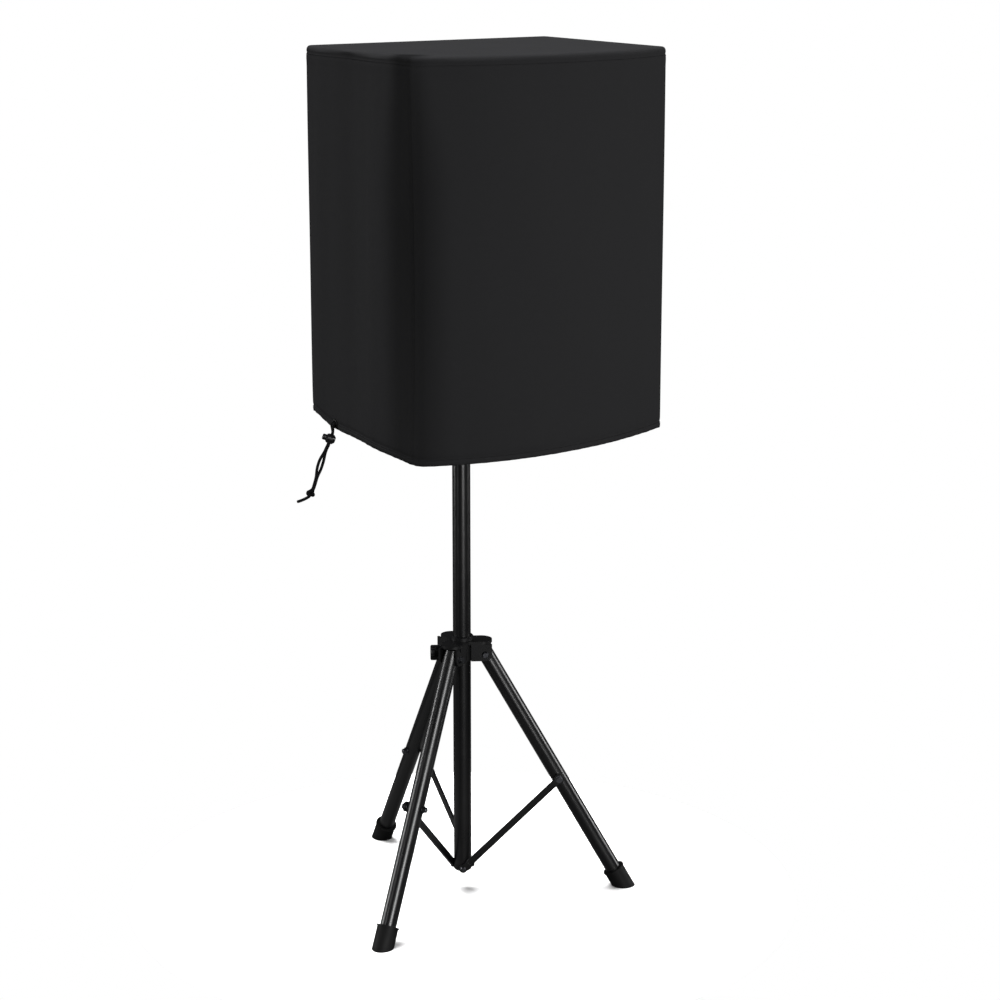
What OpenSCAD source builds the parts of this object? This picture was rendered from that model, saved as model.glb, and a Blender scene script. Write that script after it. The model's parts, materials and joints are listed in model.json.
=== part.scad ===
// Covered PA loudspeaker on a folding tripod stand.
// Units are mm, +Z is up. The origin is on the floor on the mast's axis.
// The speaker's front faces -Y. Legs stand at azimuths -150, -30 and 90 degrees.

/* [Node] */
// Part to show

/* [Cover] */
// Outside width of the dust cover
cover_w = 530; // [420:1:640]
// Outside depth of the cover at its sides
cover_d = 390; // [320:1:500]
// How far the bowed front stands out from the side edges
cover_bow = 62; // [20:1:90]
// Height of the cover from hem to top
cover_h = 705; // [560:1:860]
// Height of the hem above the floor
hem_z = 960; // [930:1:1000]
// Thickness of the padded cover cloth
cover_t = 3; // [2:0.5:6]
// Gap from cabinet to cover cloth
cover_gap = 5; // [4:0.5:12]
// Height of the folded hem
hem_h = 22; // [12:1:40]
// Extra thickness of the folded hem, inwards
hem_fold = 1.2; // [0.5:0.1:2.5]
// Distance of the speaker's middle in front of the mast
speaker_shift = 85; // [40:1:110]

/* [Cabinet] */
// Gap between hem and cabinet underside
skirt_h = 25; // [15:1:40]
// Cabinet panel thickness
panel_t = 15; // [12:1:22]
// Baffle thickness
baffle_t = 18; // [12:1:24]
// Set-back of the baffle from the side panels' front edges
baffle_back = 13.5; // [8:0.5:30]
// Woofer frame radius (15 inch class)
woofer_r = 190.5; // [150:0.5:200]
// Woofer centre above the cabinet underside
woofer_up = 222; // [200:1:260]
// Horn plate width
horn_w = 300; // [220:1:340]
// Horn plate height
horn_h = 190; // [150:1:220]
// Port tube outside radius
port_r = 32; // [20:1:38]
// Port tube length
port_l = 110; // [60:1:160]
// Rubber foot height under the cabinet
cab_foot_h = 10; // [5:1:15]

/* [Mast] */
// Outer mast tube diameter (35 mm stand standard)
mast_od = 35; // [30:0.5:42]
// Outer mast wall
mast_wall = 1.4; // [1:0.1:2.5]
// Height of the mast's bottom rivet band above the floor
cap_z = 42; // [35:1:70]
// Top of the outer mast tube
mast_top = 945; // [900:1:950]
// Inner mast wall
inner_wall = 1.5; // [1:0.1:2.5]
// Height range of the inner mast
raise_max = 450; // [300:75:450]

/* [Tripod] */
// Height of the leg pivots
hub_z = 494; // [420:1:560]
// Radius of the leg pivots from the mast axis
pivot_r = 45; // [42:0.5:60]
// Leg tube diameter
leg_od = 31.3; // [25:0.1:34]
// Leg tube wall
leg_wall = 2; // [1:0.1:3]
// Spread of a leg from the vertical, degrees
leg_spread = 29.3; // [22:0.1:36]
// Distance from leg pivot to brace bolt along the leg
brace_at = 297; // [240:1:340]
// Brace strap width
strap_w = 13; // [10:0.5:20]
// Brace strap thickness
strap_t = 5; // [3:0.5:8]
// Rubber foot outside diameter
foot_od = 41; // [36:0.5:48]
// Rubber foot length
foot_l = 42; // [30:1:60]

/* [Drawstring] */
// Drawstring diameter
string_d = 5; // [2.5:0.5:6]
// Lean of the hanging string from the vertical, degrees
string_lean = 20.3; // [0:0.1:30]

/* [Hidden] */
$fn = 64;
run = 0.08;         // radial running clearance
air = 0.3;          // least gap between curved faces that move past each other
leg_az = [-150, -30, 90];
knob_az = 150;      // both clamp knobs point between legs 1 and 3
pin_az = -30;

mast_r = mast_od/2;
mast_ir = mast_r - mast_wall;
inner_r = mast_ir - 0.5;
inner_ir = inner_r - inner_wall;
leg_r = leg_od/2;
leg_ir = leg_r - leg_wall;

// bottom cap and rivets
cap_h = 14;
cap_spigot = 12;
rivet_z = cap_z + 7;
rivet_r = 3;
boss_r = 6.5;
strap_in = mast_r + 0.5;       // inner face of each strap from the leg's radial plane
strap_out = strap_in + strap_t;
boss_reach = strap_in - air;
rivet_head_r = 5.5;
rivet_head_t = 2;

// hub
hub_lo = hub_z - 13;
hub_plate_lo = hub_z + 21;
hub_hi = hub_z + 27;
hub_bore = mast_r + run;
sleeve_r = hub_bore + 5.9;
ear_in = leg_r + 0.95;
ear_t = 4;
ear_out = ear_in + ear_t;
lobe_r = pivot_r + 13;
band_proud = 1.2;
band_lo = hub_z + 14;
flange_r = 22.5;
flange_h = 9;
pivot_pin_r = 4;
bolt_head_r = 7;
bolt_head_t = 4.5;

// clamp knobs
knob_r = 15;
knob_l = 21;
stem_r = 4;
boss_or = 9;
knob_in = sleeve_r + 17;
flute_r = 3.2;
knob_tip = 1.4;

// legs
leg_top = 12;                   // tube above the pivot
leg_floor = hub_z/cos(leg_spread);
leg_end = (hub_z - 12)/cos(leg_spread);
leg_plug = 30;
brace_x = pivot_r + brace_at*sin(leg_spread);
brace_z = hub_z - brace_at*cos(leg_spread);
strap_l = sqrt(brace_x*brace_x + (brace_z - rivet_z)*(brace_z - rivet_z));
strap_lean = atan2(brace_x, brace_z - rivet_z);
bolt_r = 3;
washer_r = 7.5;
eye_hi_r = 10;
eye_lo_r = 8;
foot_lip = 1.5;
foot_lip_h = 3;

// height collar
collar_r = 23;
collar_lo = mast_top - 39;
collar_hi = mast_top + 25;
lock_z = mast_top + 12;
height_knob_in = collar_r + 16;
pin_r = 3;
pin_step = 75;
pin_boss_r = 7;
pin_boss_to = collar_r + 11;
pin_travel = 5;

// cover and cabinet
cover_top_z = hem_z + cover_h;
cover_hw = cover_w/2;
cover_back_y = cover_d/2 - speaker_shift;
cover_side_y = -cover_d/2 - speaker_shift;
bow_r = (cover_hw*cover_hw)/(2*cover_bow) + cover_bow/2;
bow_y = cover_side_y - cover_bow + bow_r;
cab_z0 = hem_z + skirt_h;
cab_z1 = cover_top_z - cover_t - 2;
cab_hw = cover_hw - cover_t - cover_gap;
cab_back_y = cover_back_y - cover_t - cover_gap;
cab_bow_r = bow_r - cover_t - cover_gap;
cab_front_y = bow_y - sqrt(cab_bow_r*cab_bow_r - cab_hw*cab_hw);
in_hw = cab_hw - panel_t;
in_z0 = cab_z0 + panel_t;
in_z1 = cab_z1 - panel_t;
baffle_y0 = cab_front_y + baffle_back;
baffle_y1 = baffle_y0 + baffle_t;
grille_r = cab_bow_r - 0.5;
grille_t = 0.8;
grille_edge_y = bow_y - sqrt(grille_r*grille_r - (in_hw - 0.5)*(in_hw - 0.5)) + 0.8;
woofer_z = cab_z0 + woofer_up;
horn_z = in_z1 - horn_h/2 - 30;
horn_open_r = horn_h/2 - 12;
port_x = in_hw - port_r - 18;
port_lip = 5;                      // the flange reaches this far past the tube
port_lip_t = 3;
port_wall = 3;
grille_rail = 11.5;                // folded edge along each side
grille_gap = 0.5;

// woofer, measured back from the baffle's face
rim_t = 6;                         // frame's flange in front of the baffle
well_h = 20;                       // straight part of the frame
well_wall = 2.5;
basket_h = 75;                     // tapered part of the frame
basket_end_r = 70;
basket_wall = 3;
window_w = 52;                     // gap between two spokes
window_h = 42;
rim_hole_r = 3;
roll_r = 10;                       // half-roll surround
roll_wall = 2;
roll_at = woofer_r - 30;
motor_y = 95;
motor_plate_r = 50;
motor_plate_t = 8;
magnet_r = 54;
magnet_t = 20;
gap_in = 29;                       // voice coil gap
gap_out = 34;
coil_r = 32.5;
coil_wall = 2;
cone_h = 70;
cone_wall = 3;
dome_r = 50;
dome_wall = 2;

// horn and driver, measured back from the baffle's face
horn_lip = 6;
horn_wall = 4;
flare_y = 30;                      // first cone
throat_y = 70;                     // second cone
neck_y = 100;                      // throat's end
flare_in = 22;
throat_r = 30;
neck_r = 20;
driver_r = 36;
driver_l = 34;

// mast top
adapter_lo = collar_hi + 6;
adapter_hi = adapter_lo + 80;
adapter_r = mast_r;
socket_bore = adapter_r + run;
socket_r = 23;
socket_flange_r = 48;
socket_flange_t = 4;

// amplifier panel
amp_z0 = cab_z0 + 200;
amp_z1 = amp_z0 + 300;
amp_hw = 105;
amp_lap = 13;
amp_t = 3;
amp_y = cab_back_y - panel_t;      // outer face of the recessed plate
ctl_z = amp_z1 - 60;
inlet_z = amp_z0 + 36;
inlet_x = 62;
switch_x = 15;
module_hw = 85;                    // sealed amplifier module behind the plate
module_d = 75;
module_z0 = amp_z0 + 62;
rocker_r = 9;
rocker_hw = 6;
knob1_x = -10;
knob2_x = 40;
xlr_x = -62;
xlr_r = 9.5;
xlr_gap = 60;
module_z1 = ctl_z - xlr_gap - xlr_r - 10;

// side handles
handle_y = -speaker_shift;
handle_z = cab_z0 + 345;
handle_hw = 78;
handle_hh = 42;
handle_in = 55;
handle_wall = 3;

// yoke inserts
insert_r = 3.4;
insert_or = 6.5;
insert_l = 15;
insert_y = -speaker_shift;
insert_z = cab_z0 + 450;

// drawstring
string_r = string_d/2;
eye_y = cover_back_y - 93.5;
eye_z = hem_z + 19;
eye_hole = 2*string_r + 0.7;
eye_ring = eye_hole + 3;
left_dir = [cos(knob_az), sin(knob_az), 0];
side_dir = [-sin(knob_az), cos(knob_az), 0];
lock_c = [-cover_hw - 8, eye_y + 4, hem_z - 10];
string_dir = left_dir*sin(string_lean) - [0, 0, 1]*cos(string_lean);
strand_gap = string_r + 0.4;
knot_c = lock_c + string_dir*110;
tail_end = knot_c + left_dir*26 - [0, 0, 17];
knot_r = 3.2*string_r;
knot_l = 5.5*string_r;
lock_r = 9;
button_r = 5.6;
button_x = string_r + 4;           // leaves the press travel before it meets the string
button_l = 9.1;

// ---- helpers ----
module ycyl(h, r, r2 = -1) {
    rotate([-90, 0, 0]) cylinder(h = h, r1 = r, r2 = r2 < 0 ? r : r2);
}

module xcyl(h, r, r2 = -1) {
    rotate([0, 90, 0]) cylinder(h = h, r1 = r, r2 = r2 < 0 ? r : r2);
}

module hexnut(h, r) {
    rotate([-90, 0, 0]) cylinder(h = h, r = r, $fn = 6);
}

module box(x0, x1, y0, y1, z0, z1) {
    translate([x0, y0, z0]) cube([x1 - x0, y1 - y0, z1 - z0]);
}

module at_leg(k) {
    rotate([0, 0, leg_az[k]]) children();
}

// children in the leg's own frame: pivot at the origin, the leg running down -Z
module on_leg(k) {
    at_leg(k) translate([pivot_r, 0, hub_z]) rotate([0, -leg_spread, 0]) children();
}

// children in the strap's own frame: lower rivet at the origin, the strap running up +Z
module on_strap(k) {
    at_leg(k) translate([0, 0, rivet_z]) rotate([0, strap_lean, 0]) children();
}

module clamp_knob(from_r, tip, z) {
    rotate([0, 0, knob_az]) translate([0, 0, z]) {
        translate([tip, 0, 0]) xcyl(from_r - tip + 1, stem_r);
        difference() {
            union() {
                translate([from_r, 0, 0]) xcyl(5, knob_r - 4, knob_r);
                translate([from_r + 5, 0, 0]) xcyl(knob_l - 7, knob_r);
                translate([from_r + knob_l - 2, 0, 0]) xcyl(2, knob_r, knob_r - 2);
            }
            for (a = [0:45:315])
                rotate([a, 0, 0]) translate([from_r + 5, 0, knob_r + knob_tip])
                    xcyl(knob_l, flute_r);
        }
    }
}

// the speaker's outline between two heights, with its bowed front
module bowed_block(hw, back, front_r, z0, z1) {
    intersection() {
        box(-hw, hw, bow_y - front_r - 1, back, z0, z1);
        translate([0, bow_y, z0 - 1]) cylinder(h = z1 - z0 + 2, r = front_r, $fn = 128);
    }
}

// a straight swept tube through a list of points, as one closed surface
function unit3(v) = v/norm(v);
function tangent(p, i) = unit3(p[min(i + 1, len(p) - 1)] - p[max(i - 1, 0)]);
function side_of(t) = unit3(cross(t, abs(t[1]) < 0.9 ? [0, 1, 0] : [1, 0, 0]));
function ring(p, i, r, n) = let (t = tangent(p, i), u = side_of(t), v = cross(t, u))
    [for (a = [0:n - 1]) p[i] + r*cos(360*a/n)*u + r*sin(360*a/n)*v];
function mix3(a, b, c, d, t) = 0.5*((2*b) + (c - a)*t + (2*a - 5*b + 4*c - d)*t*t
    + (3*b - a - 3*c + d)*t*t*t);
function smooth(p, n) = let (m = len(p) - 1) concat(
    [for (i = [0:m - 1], s = [0:n - 1])
        mix3(p[max(i - 1, 0)], p[i], p[i + 1], p[min(i + 2, m)], s/n)], [p[m]]);

module tube_through(route, r, n = 8) {
    m = len(route);
    pts = [for (i = [0:m - 1]) each ring(route, i, r, n)];
    sides = [for (i = [0:m - 2], a = [0:n - 1])
        [(i + 1)*n + a, (i + 1)*n + (a + 1)%n, i*n + (a + 1)%n, i*n + a]];
    polyhedron(points = pts, faces = concat(sides, [[for (a = [0:n - 1]) a]],
        [[for (a = [n - 1:-1:0]) (m - 1)*n + a]]), convexity = 4);
}

// ---- stand ----
module outer_tube() {
    color("#161616") difference() {
        translate([0, 0, cap_z + cap_h]) cylinder(h = mast_top - cap_z - cap_h, r = mast_r);
        translate([0, 0, cap_z]) cylinder(h = mast_top, r = mast_ir);
    }
}

module shaft_bottom_cap() {
    color("#1c1c1c") difference() {
        union() {
            translate([0, 0, cap_z + 1.5]) cylinder(h = cap_h - 1.5, r = mast_r);
            translate([0, 0, cap_z]) cylinder(h = 1.5, r1 = mast_r - 1.5, r2 = mast_r);
            translate([0, 0, cap_z + cap_h]) cylinder(h = cap_spigot, r = mast_ir);
            for (k = [0:2]) at_leg(k) translate([0, -boss_reach, rivet_z]) ycyl(boss_reach, boss_r);
        }
        for (k = [0:2]) at_leg(k)
            translate([0, -strap_out, rivet_z]) ycyl(strap_out - 9, rivet_r);
    }
}

module brace_rivets() {
    color("#b8babd") for (k = [0:2]) at_leg(k) {
        translate([0, -strap_out - 0.2, rivet_z]) ycyl(strap_out + 0.2 - 9, rivet_r);
        translate([0, -strap_out - 0.2 - rivet_head_t, rivet_z])
            ycyl(rivet_head_t, rivet_head_r - 1.5, rivet_head_r);
    }
}

module height_collar() {
    color("#1c1c1c") difference() {
        union() {
            translate([0, 0, collar_lo]) cylinder(h = 3, r1 = collar_r - 2, r2 = collar_r);
            translate([0, 0, collar_lo + 3]) cylinder(h = collar_hi - collar_lo - 5, r = collar_r);
            translate([0, 0, collar_hi - 2]) cylinder(h = 2, r1 = collar_r, r2 = collar_r - 2);
            rotate([0, 0, knob_az]) translate([inner_r + 2, 0, lock_z])
                xcyl(height_knob_in - 1 - inner_r - 2, boss_or);
            rotate([0, 0, pin_az]) translate([inner_r + 2, 0, lock_z])
                xcyl(pin_boss_to - inner_r - 2, pin_boss_r);
        }
        translate([0, 0, collar_lo - 1]) cylinder(h = mast_top - collar_lo + 1, r = mast_r);
        translate([0, 0, collar_lo]) cylinder(h = 100, r = inner_r + run);
        rotate([0, 0, knob_az]) translate([0, 0, lock_z]) xcyl(100, stem_r + run);
        rotate([0, 0, pin_az]) translate([0, 0, lock_z]) xcyl(100, pin_r + run);
    }
}

module height_knob() {
    color("#202020") clamp_knob(height_knob_in, inner_r + air, lock_z);
}

module height_pin() {
    color("#b8babd") rotate([0, 0, pin_az]) translate([0, 0, lock_z]) {
        translate([inner_r + 0.2, 0, 0]) xcyl(pin_boss_to + pin_travel + 1 - inner_r, pin_r);
        translate([pin_boss_to + pin_travel + 1, 0, 0]) xcyl(10, 9);
    }
}

module ear(side) {
    y0 = side > 0 ? ear_in : -ear_out;
    translate([0, y0, 0]) {
        translate([pivot_r, 0, hub_z]) ycyl(ear_t, 13);
        translate([sleeve_r - 6, 0, hub_lo]) cube([pivot_r - sleeve_r + 6, ear_t, hub_plate_lo - hub_lo]);
        translate([pivot_r, 0, hub_z]) cube([13, ear_t, hub_plate_lo - hub_z]);
    }
}

module leg_hub() {
    color("#191919") difference() {
        union() {
            translate([0, 0, hub_lo]) cylinder(h = hub_hi - hub_lo, r = sleeve_r);
            for (k = [0:2]) at_leg(k) {
                ear(1);
                ear(-1);
                translate([0, -ear_out - band_proud, hub_plate_lo])
                    cube([pivot_r - 6, 2*(ear_out + band_proud), hub_hi - hub_plate_lo]);
                intersection() {
                    translate([pivot_r - 8, 0, hub_plate_lo])
                        cylinder(h = hub_hi - hub_plate_lo, r = ear_out + band_proud);
                    box(0, lobe_r + 1, -40, 40, hub_plate_lo, hub_hi);
                }
                for (s = [-1, 1]) translate([sleeve_r - 6, s > 0 ? ear_out : -ear_out - band_proud, band_lo])
                    cube([pivot_r - sleeve_r + 6, band_proud, hub_plate_lo - band_lo]);
            }
            rotate([0, 0, knob_az]) translate([hub_bore + 2, 0, hub_z])
                xcyl(knob_in - 1 - hub_bore - 2, boss_or);
        }
        translate([0, 0, hub_lo - 1]) cylinder(h = 100, r = hub_bore);
        rotate([0, 0, knob_az]) translate([0, 0, hub_z]) xcyl(100, stem_r + run);
        for (k = [0:2]) at_leg(k) translate([pivot_r, -40, hub_z]) ycyl(80, pivot_pin_r);
    }
}

module hub_flange() {
    color("#1c1c1c") difference() {
        union() {
            translate([0, 0, hub_hi]) cylinder(h = flange_h - 2, r = flange_r);
            translate([0, 0, hub_hi + flange_h - 2]) cylinder(h = 2, r1 = flange_r, r2 = flange_r - 2);
        }
        translate([0, 0, hub_hi - 1]) cylinder(h = 30, r = hub_bore);
    }
}

module leg_pivot_bolts() {
    color("#b8babd") for (k = [0:2]) at_leg(k) translate([pivot_r, 0, hub_z]) {
        translate([0, -ear_out, 0]) ycyl(2*ear_out, pivot_pin_r);
        translate([0, -ear_out - bolt_head_t, 0]) ycyl(bolt_head_t, bolt_head_r - 2, bolt_head_r);
        translate([0, ear_out, 0]) ycyl(1.2, bolt_head_r);
        translate([0, ear_out + 1.2, 0]) hexnut(5, bolt_head_r - 0.6);
    }
}

module hub_knob() {
    color("#202020") clamp_knob(knob_in, mast_r + air, hub_z);
}

module leg(k) {
    color("#161616") on_leg(k) difference() {
        translate([0, 0, -leg_end]) cylinder(h = leg_end + leg_top, r = leg_r);
        translate([0, 0, -leg_end - 1]) cylinder(h = leg_end + 1 - leg_plug, r = leg_ir);
        translate([0, -30, 0]) ycyl(60, pivot_pin_r + run);
        translate([0, -30, -brace_at]) ycyl(60, bolt_r);
    }
}

module foot(k) {
    color("#1d1d1d") difference() {
        on_leg(k) difference() {
            union() {
                translate([0, 0, -leg_floor - 15]) cylinder(h = foot_l + 15, r = foot_od/2);
                translate([0, 0, -leg_floor + foot_l - foot_lip_h])
                    cylinder(h = foot_lip_h, r = foot_od/2 + foot_lip);
            }
            translate([0, 0, -leg_end]) cylinder(h = leg_end, r = leg_r);
        }
        translate([-500, -500, -100]) cube([1000, 1000, 100]);
    }
}

module brace_bolt(k) {
    color("#b8babd") on_leg(k) translate([0, 0, -brace_at]) {
        translate([0, -strap_in + air, 0]) ycyl(strap_in - air + leg_r + 3, bolt_r);
        translate([0, -strap_in + air, 0]) ycyl(strap_in - air - leg_r, washer_r);
        translate([0, leg_r, 0]) ycyl(1.5, washer_r);
        translate([0, leg_r + 1.5, 0]) hexnut(6, washer_r - 1.5);
        translate([0, leg_r + 7.5, 0]) ycyl(1.5, washer_r - 3, washer_r - 4.5);
    }
}

module brace(k) {
    color("#171717") on_strap(k) difference() {
        union() {
            translate([-strap_w/2, -strap_out, 0]) cube([strap_w, strap_t, strap_l]);
            translate([0, -strap_out, 0]) ycyl(strap_t, eye_lo_r);
            translate([0, -strap_out, strap_l]) ycyl(strap_t, eye_hi_r);
        }
        translate([0, -strap_out - 1, 0]) ycyl(strap_t + 2, rivet_r + run);
        translate([-strap_w/2 + 3, -strap_out - 1, eye_lo_r + 8])
            cube([strap_w - 6, 2.2, strap_l - eye_lo_r - eye_hi_r - 16]);
    }
}

module brace_head(k) {
    color("#b8babd") on_strap(k) translate([0, -strap_out, strap_l]) {
        translate([0, -1.2, 0]) ycyl(1.2, washer_r);
        translate([0, -5.2, 0]) hexnut(4, washer_r - 1.8);
    }
}

module inner_tube() {
    color("#2a2a2a") difference() {
        union() {
            translate([0, 0, mast_top - 521]) cylinder(h = 26, r = mast_ir - run);
            translate([0, 0, mast_top - 500]) cylinder(h = adapter_hi - 3 - mast_top + 500, r = inner_r);
        }
        translate([0, 0, mast_top - 513]) cylinder(h = 1000, r = inner_ir);
        for (i = [0:raise_max/pin_step]) rotate([0, 0, pin_az])
            translate([0, 0, lock_z - pin_step*i]) xcyl(40, pin_r + 0.4);
    }
}

module pole_adapter() {
    color("#1c1c1c") difference() {
        union() {
            translate([0, 0, collar_hi + 0.4]) cylinder(h = adapter_lo - collar_hi - 0.4, r = 21);
            translate([0, 0, adapter_lo]) cylinder(h = adapter_hi - adapter_lo - 2, r = adapter_r);
            translate([0, 0, adapter_hi - 2]) cylinder(h = 2, r1 = adapter_r, r2 = adapter_r - 2);
        }
        translate([0, 0, collar_hi]) cylinder(h = adapter_hi - 3 - collar_hi, r = inner_r);
    }
}

// ---- speaker ----
module side_panel(s) {
    x0 = s < 0 ? -cab_hw : in_hw;
    color("#262320") difference() {
        box(x0, x0 + panel_t, cab_front_y, cab_back_y, in_z0, in_z1);
        box(x0 - 1, x0 + panel_t + 1, handle_y - handle_hw, handle_y + handle_hw,
            handle_z - handle_hh, handle_z + handle_hh);
        translate([x0 - 1, insert_y, insert_z]) xcyl(panel_t + 2, insert_or);
    }
}

module cab_left() {
    side_panel(-1);
}

module cab_right() {
    side_panel(1);
}

module cab_top() {
    color("#262320") bowed_block(cab_hw, cab_back_y, cab_bow_r, in_z1, cab_z1);
}

module cab_bottom() {
    color("#262320") difference() {
        bowed_block(cab_hw, cab_back_y, cab_bow_r, cab_z0, in_z0);
        translate([0, 0, cab_z0 - 1]) cylinder(h = panel_t + 2, r = socket_r);
    }
}

module cab_back() {
    color("#262320") difference() {
        box(-in_hw, in_hw, amp_y, cab_back_y, in_z0, in_z1);
        box(-amp_hw, amp_hw, amp_y - 1, cab_back_y + 1, amp_z0, amp_z1);
    }
}

module cab_baffle() {
    color("#262320") difference() {
        box(-in_hw, in_hw, baffle_y0, baffle_y1, in_z0, in_z1);
        translate([0, baffle_y0 - 1, woofer_z]) ycyl(baffle_t + 2, woofer_r - 12);
        translate([0, baffle_y0 - 1, horn_z]) ycyl(baffle_t + 2, horn_open_r + 4);
        for (s = [-1, 1]) translate([s*port_x, baffle_y0 - 1, horn_z]) ycyl(baffle_t + 2, port_r);
    }
}

module cab_feet() {
    color("#1d1d1d") for (x = [-1, 1], y = [cab_front_y + 40, cab_back_y - 40])
        translate([x*(cab_hw - 40), y, cab_z0 - cab_foot_h])
            cylinder(h = cab_foot_h, r1 = 15, r2 = 18);
}

module pole_socket() {
    color("#2b2b2b") difference() {
        union() {
            translate([0, 0, cab_z0 - socket_flange_t]) cylinder(h = socket_flange_t, r = socket_flange_r);
            translate([0, 0, cab_z0]) cylinder(h = adapter_hi + 6 - cab_z0, r = socket_r);
        }
        translate([0, 0, cab_z0 - 20]) cylinder(h = adapter_hi + air - cab_z0 + 20, r = socket_bore);
    }
}

module grille() {
    color("#1a1a1a") union() {
        difference() {
            bowed_block(in_hw - grille_gap, baffle_y0 - 12, grille_r, in_z0 + grille_gap, in_z1 - grille_gap);
            translate([0, bow_y, 0]) cylinder(h = 3000, r = grille_r - grille_t, $fn = 128);
        }
        for (s = [-1, 1]) box(s > 0 ? in_hw - grille_gap - grille_rail : -in_hw + grille_gap,
            s > 0 ? in_hw - grille_gap : -in_hw + grille_gap + grille_rail,
            grille_edge_y, baffle_y0, in_z0 + grille_gap, in_z1 - grille_gap);
    }
}

module woofer_frame() {
    color("#222222") translate([0, baffle_y0, woofer_z]) rotate([-90, 0, 0]) {
        difference() {
            union() {
                translate([0, 0, -rim_t]) cylinder(h = rim_t, r = woofer_r);
                cylinder(h = well_h, r = woofer_r - 12.5);
                translate([0, 0, well_h]) cylinder(h = basket_h, r1 = woofer_r - 14, r2 = basket_end_r);
            }
            translate([0, 0, -rim_t - 1]) cylinder(h = rim_t + well_h + 1.01, r = woofer_r - 12.5 - well_wall);
            translate([0, 0, well_h]) cylinder(h = basket_h - 3, r1 = woofer_r - 16, r2 = basket_end_r - basket_wall);
            translate([0, 0, well_h + 60]) cylinder(h = 30, r = gap_out + 6);
            for (a = [0:60:300]) rotate([0, 0, a]) translate([100, -window_w/2, well_h + 10])
                cube([100, window_w, window_h]);
            for (a = [22.5:45:337.5]) rotate([0, 0, a]) translate([woofer_r - rim_t, 0, -rim_t - 1])
                cylinder(h = rim_t + 2, r = rim_hole_r);
        }
        rotate_extrude($fn = 128) translate([roll_at, -roll_wall]) difference() {
            union() {
                circle(r = roll_r);
                translate([roll_r - 2, -1]) square([8, 3]);
            }
            circle(r = roll_r - roll_wall);
            translate([-roll_r - 2, 0]) square([2*roll_r + 4, 20]);
        }
    }
}

module woofer_magnet() {
    color("#3a3a3c") translate([0, baffle_y0 + motor_y, woofer_z]) difference() {
        union() {
            ycyl(motor_plate_t, motor_plate_r);
            translate([0, motor_plate_t, 0]) ycyl(magnet_t, magnet_r);
            translate([0, motor_plate_t + magnet_t, 0]) ycyl(motor_plate_t, magnet_r - 5);
        }
        translate([0, -1, 0]) difference() {
            ycyl(magnet_t + motor_plate_t, gap_out);
            ycyl(magnet_t + motor_plate_t + 1, gap_in);
        }
    }
}

module woofer_cone() {
    color("#1b1a19") translate([0, baffle_y0, woofer_z]) rotate([-90, 0, 0]) {
        difference() {
            translate([0, 0, 4]) cylinder(h = cone_h, r1 = woofer_r - 42, r2 = coil_r);
            translate([0, 0, 3.99]) cylinder(h = cone_h, r1 = woofer_r - 42 - cone_wall, r2 = coil_r - cone_wall);
        }
        difference() {
            translate([0, 0, cone_h + 2]) cylinder(h = 45, r = coil_r);
            translate([0, 0, cone_h + 1]) cylinder(h = 47, r = coil_r - coil_wall);
        }
        intersection() {
            translate([0, 0, 92]) difference() {
                sphere(r = dome_r);
                sphere(r = dome_r - dome_wall);
            }
            translate([0, 0, 40]) cylinder(h = 31, r = 43.5);
        }
    }
}

module horn() {
    color("#202020") translate([0, baffle_y0, horn_z]) difference() {
        union() {
            box(-horn_w/2, horn_w/2, -horn_lip, 0, -horn_h/2, horn_h/2);
            ycyl(flare_y, horn_open_r + horn_wall, horn_open_r - flare_in);
            translate([0, flare_y, 0]) ycyl(throat_y - flare_y, horn_open_r - flare_in, throat_r);
            translate([0, throat_y, 0]) ycyl(neck_y - throat_y, throat_r, neck_r);
        }
        translate([0, -horn_lip - 0.01, 0])
            ycyl(flare_y + horn_lip + 0.01, horn_open_r, horn_open_r - flare_in - horn_wall);
        translate([0, flare_y, 0]) ycyl(throat_y - flare_y, horn_open_r - flare_in - horn_wall, throat_r - horn_wall);
        translate([0, throat_y, 0]) ycyl(neck_y - throat_y + 0.01, throat_r - horn_wall, neck_r - 7);
        for (x = [-1, 1], z = [-1, 1]) translate([x*(horn_w/2 - 14), -horn_lip - 1, z*(horn_h/2 - 14)])
            ycyl(horn_lip + 2, rim_hole_r);
    }
}

module compression_driver() {
    color("#2d2d2f") translate([0, baffle_y0 + neck_y, horn_z]) {
        ycyl(6, neck_r + 10);
        translate([0, 6, 0]) ycyl(driver_l, driver_r);
        translate([0, 6 + driver_l, 0]) ycyl(14, driver_r - 5, driver_r - 11);
    }
}

module ports() {
    color("#202020") for (s = [-1, 1]) translate([s*port_x, baffle_y0, horn_z]) difference() {
        union() {
            ycyl(port_l, port_r);
            translate([0, -port_lip_t, 0]) ycyl(port_lip_t, port_r + port_lip);
        }
        translate([0, -port_lip_t - 1, 0]) ycyl(port_l + port_lip_t + 2, port_r - port_wall);
    }
}

module handles() {
    color("#1d1d1d") for (s = [-1, 1]) {
        x0 = s > 0 ? cab_hw - handle_in : -cab_hw;
        difference() {
            box(x0, x0 + handle_in, handle_y - handle_hw, handle_y + handle_hw,
                handle_z - handle_hh, handle_z + handle_hh);
            box(s > 0 ? x0 + handle_wall : x0 - 1, s > 0 ? x0 + handle_in + 1 : x0 + handle_in - handle_wall,
                handle_y - handle_hw + handle_wall, handle_y + handle_hw - handle_wall,
                handle_z - handle_hh + handle_wall, handle_z + handle_hh - 26);
            box(s > 0 ? x0 + handle_wall : x0 + 24, s > 0 ? x0 + handle_in - 24 : x0 + handle_in - handle_wall,
                handle_y - handle_hw + handle_wall, handle_y + handle_hw - handle_wall,
                handle_z - handle_hh + handle_wall, handle_z + handle_hh - handle_wall);
        }
    }
}

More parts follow.
